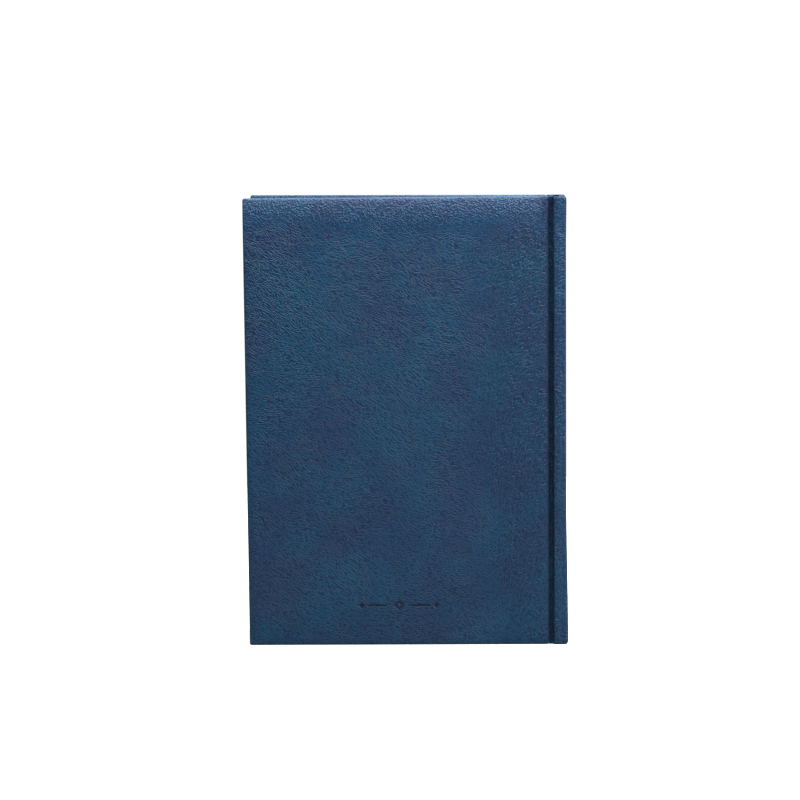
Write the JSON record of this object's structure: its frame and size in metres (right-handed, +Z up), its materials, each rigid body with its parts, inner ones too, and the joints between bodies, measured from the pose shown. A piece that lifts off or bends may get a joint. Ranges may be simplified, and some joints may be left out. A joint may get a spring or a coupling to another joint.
{
  "type": "pilot logbook",
  "caption": "Casebound A5 logbook in grained navy leather, standing on its tail with the front cover ajar; covers, leaves and sewn sections turn.",
  "frame": {"origin": "middle of the spine's tail end, on the surface that the book stands on", "axes": "+Z up the spine from tail to head, +X out of the spine (the fore-edges point to -X), +Y out of the front cover (the back cover faces -Y)"},
  "size_m": [0.1533, 0.0385, 0.216],
  "materials": {
    "cover_leather": "grained PU leather, satin",
    "greyboard": "raw",
    "endpaper": "matt",
    "page_paper": "matt",
    "kraft_paper": "matt",
    "gauze": "open weave",
    "linen_thread": "waxed",
    "band_cloth": "woven"
  },
  "bodies": {
    "spine": {"spine_board": "greyboard", "spine_leather": "cover_leather", "spine_lining": "kraft_paper", "mull": "gauze", "sewing_thread": "linen_thread", "section_folds": "page_paper", "head_band": "band_cloth", "tail_band": "band_cloth"},
    "front_cover": {"front_board": "greyboard", "front_leather": "cover_leather", "front_pastedown": "endpaper"},
    "back_cover": {"back_board": "greyboard", "back_leather": "cover_leather", "back_pastedown": "endpaper"},
    "front_flyleaf": {"front_flyleaf": "endpaper"},
    "front_leaf_1": {"front_leaf_1": "page_paper"},
    "front_leaf_2": {"front_leaf_2": "page_paper"},
    "section_1": {"section_1": "page_paper"},
    "section_2": {"section_2": "page_paper"},
    "section_3": {"section_3": "page_paper"},
    "section_4": {"section_4": "page_paper"},
    "section_5": {"section_5": "page_paper"},
    "section_6": {"section_6": "page_paper"},
    "section_7": {"section_7": "page_paper"},
    "section_8": {"section_8": "page_paper"},
    "back_leaf_2": {"back_leaf_2": "page_paper"},
    "back_leaf_1": {"back_leaf_1": "page_paper"},
    "back_flyleaf": {"back_flyleaf": "endpaper"}
  },
  "joints": [
    {"name": "front_cover_hinge", "type": "hinge", "parent": "spine", "child": "front_cover", "pos_m": [-0.0055, 0.00922, 0.108], "axis": [0, 0, -1], "range_deg": [-8, 172]},
    {"name": "back_cover_hinge", "type": "hinge", "parent": "spine", "child": "back_cover", "pos_m": [-0.0055, -0.00922, 0.108], "axis": [0, 0, 1], "range_deg": [0, 180]},
    {"name": "front_flyleaf_turn", "type": "hinge", "parent": "spine", "child": "front_flyleaf", "pos_m": [-0.00985, 0.00528, 0.108], "axis": [0, 0, -1], "range_deg": [-5.29, 113.53]},
    {"name": "front_leaf_1_turn", "type": "hinge", "parent": "spine", "child": "front_leaf_1", "pos_m": [-0.00985, 0.00498, 0.108], "axis": [0, 0, -1], "range_deg": [-4.49, 96.33]},
    {"name": "front_leaf_2_turn", "type": "hinge", "parent": "spine", "child": "front_leaf_2", "pos_m": [-0.00985, 0.00468, 0.108], "axis": [0, 0, -1], "range_deg": [-3.69, 79.13]},
    {"name": "section_1_turn", "type": "hinge", "parent": "spine", "child": "section_1", "pos_m": [-0.00985, 0.00438, 0.108], "axis": [0, 0, -1], "range_deg": [-2.89, 61.93]},
    {"name": "section_2_turn", "type": "hinge", "parent": "spine", "child": "section_2", "pos_m": [-0.00985, 0.00328, 0.108], "axis": [0, 0, -1], "range_deg": [-2.17, 46.45]},
    {"name": "section_3_turn", "type": "hinge", "parent": "spine", "child": "section_3", "pos_m": [-0.00985, 0.00217, 0.108], "axis": [0, 0, -1], "range_deg": [-1.45, 30.97]},
    {"name": "section_4_turn", "type": "hinge", "parent": "spine", "child": "section_4", "pos_m": [-0.00985, 0.00108, 0.108], "axis": [0, 0, -1], "range_deg": [-0.73, 15.49]},
    {"name": "section_5_turn", "type": "hinge", "parent": "spine", "child": "section_5", "pos_m": [-0.00985, -0.00108, 0.108], "axis": [0, 0, 1], "range_deg": [0, 16.21]},
    {"name": "section_6_turn", "type": "hinge", "parent": "spine", "child": "section_6", "pos_m": [-0.00985, -0.00217, 0.108], "axis": [0, 0, 1], "range_deg": [0, 32.41]},
    {"name": "section_7_turn", "type": "hinge", "parent": "spine", "child": "section_7", "pos_m": [-0.00985, -0.00328, 0.108], "axis": [0, 0, 1], "range_deg": [0, 48.61]},
    {"name": "section_8_turn", "type": "hinge", "parent": "spine", "child": "section_8", "pos_m": [-0.00985, -0.00438, 0.108], "axis": [0, 0, 1], "range_deg": [0, 64.81]},
    {"name": "back_leaf_2_turn", "type": "hinge", "parent": "spine", "child": "back_leaf_2", "pos_m": [-0.00985, -0.00468, 0.108], "axis": [0, 0, 1], "range_deg": [0, 82.81]},
    {"name": "back_leaf_1_turn", "type": "hinge", "parent": "spine", "child": "back_leaf_1", "pos_m": [-0.00985, -0.00498, 0.108], "axis": [0, 0, 1], "range_deg": [0, 100.81]},
    {"name": "back_flyleaf_turn", "type": "hinge", "parent": "spine", "child": "back_flyleaf", "pos_m": [-0.00985, -0.00528, 0.108], "axis": [0, 0, 1], "range_deg": [0, 118.81]}
  ],
  "couplings": [
    {"joint": "front_flyleaf_turn", "follows": "front_cover_hinge", "ratio": 0.66},
    {"joint": "front_leaf_1_turn", "follows": "front_cover_hinge", "ratio": 0.56},
    {"joint": "front_leaf_2_turn", "follows": "front_cover_hinge", "ratio": 0.46},
    {"joint": "section_1_turn", "follows": "front_cover_hinge", "ratio": 0.36},
    {"joint": "section_2_turn", "follows": "front_cover_hinge", "ratio": 0.27},
    {"joint": "section_3_turn", "follows": "front_cover_hinge", "ratio": 0.18},
    {"joint": "section_4_turn", "follows": "front_cover_hinge", "ratio": 0.09},
    {"joint": "section_5_turn", "follows": "back_cover_hinge", "ratio": 0.09},
    {"joint": "section_6_turn", "follows": "back_cover_hinge", "ratio": 0.18},
    {"joint": "section_7_turn", "follows": "back_cover_hinge", "ratio": 0.27},
    {"joint": "section_8_turn", "follows": "back_cover_hinge", "ratio": 0.36},
    {"joint": "back_leaf_2_turn", "follows": "back_cover_hinge", "ratio": 0.46},
    {"joint": "back_leaf_1_turn", "follows": "back_cover_hinge", "ratio": 0.56},
    {"joint": "back_flyleaf_turn", "follows": "back_cover_hinge", "ratio": 0.66}
  ]
}
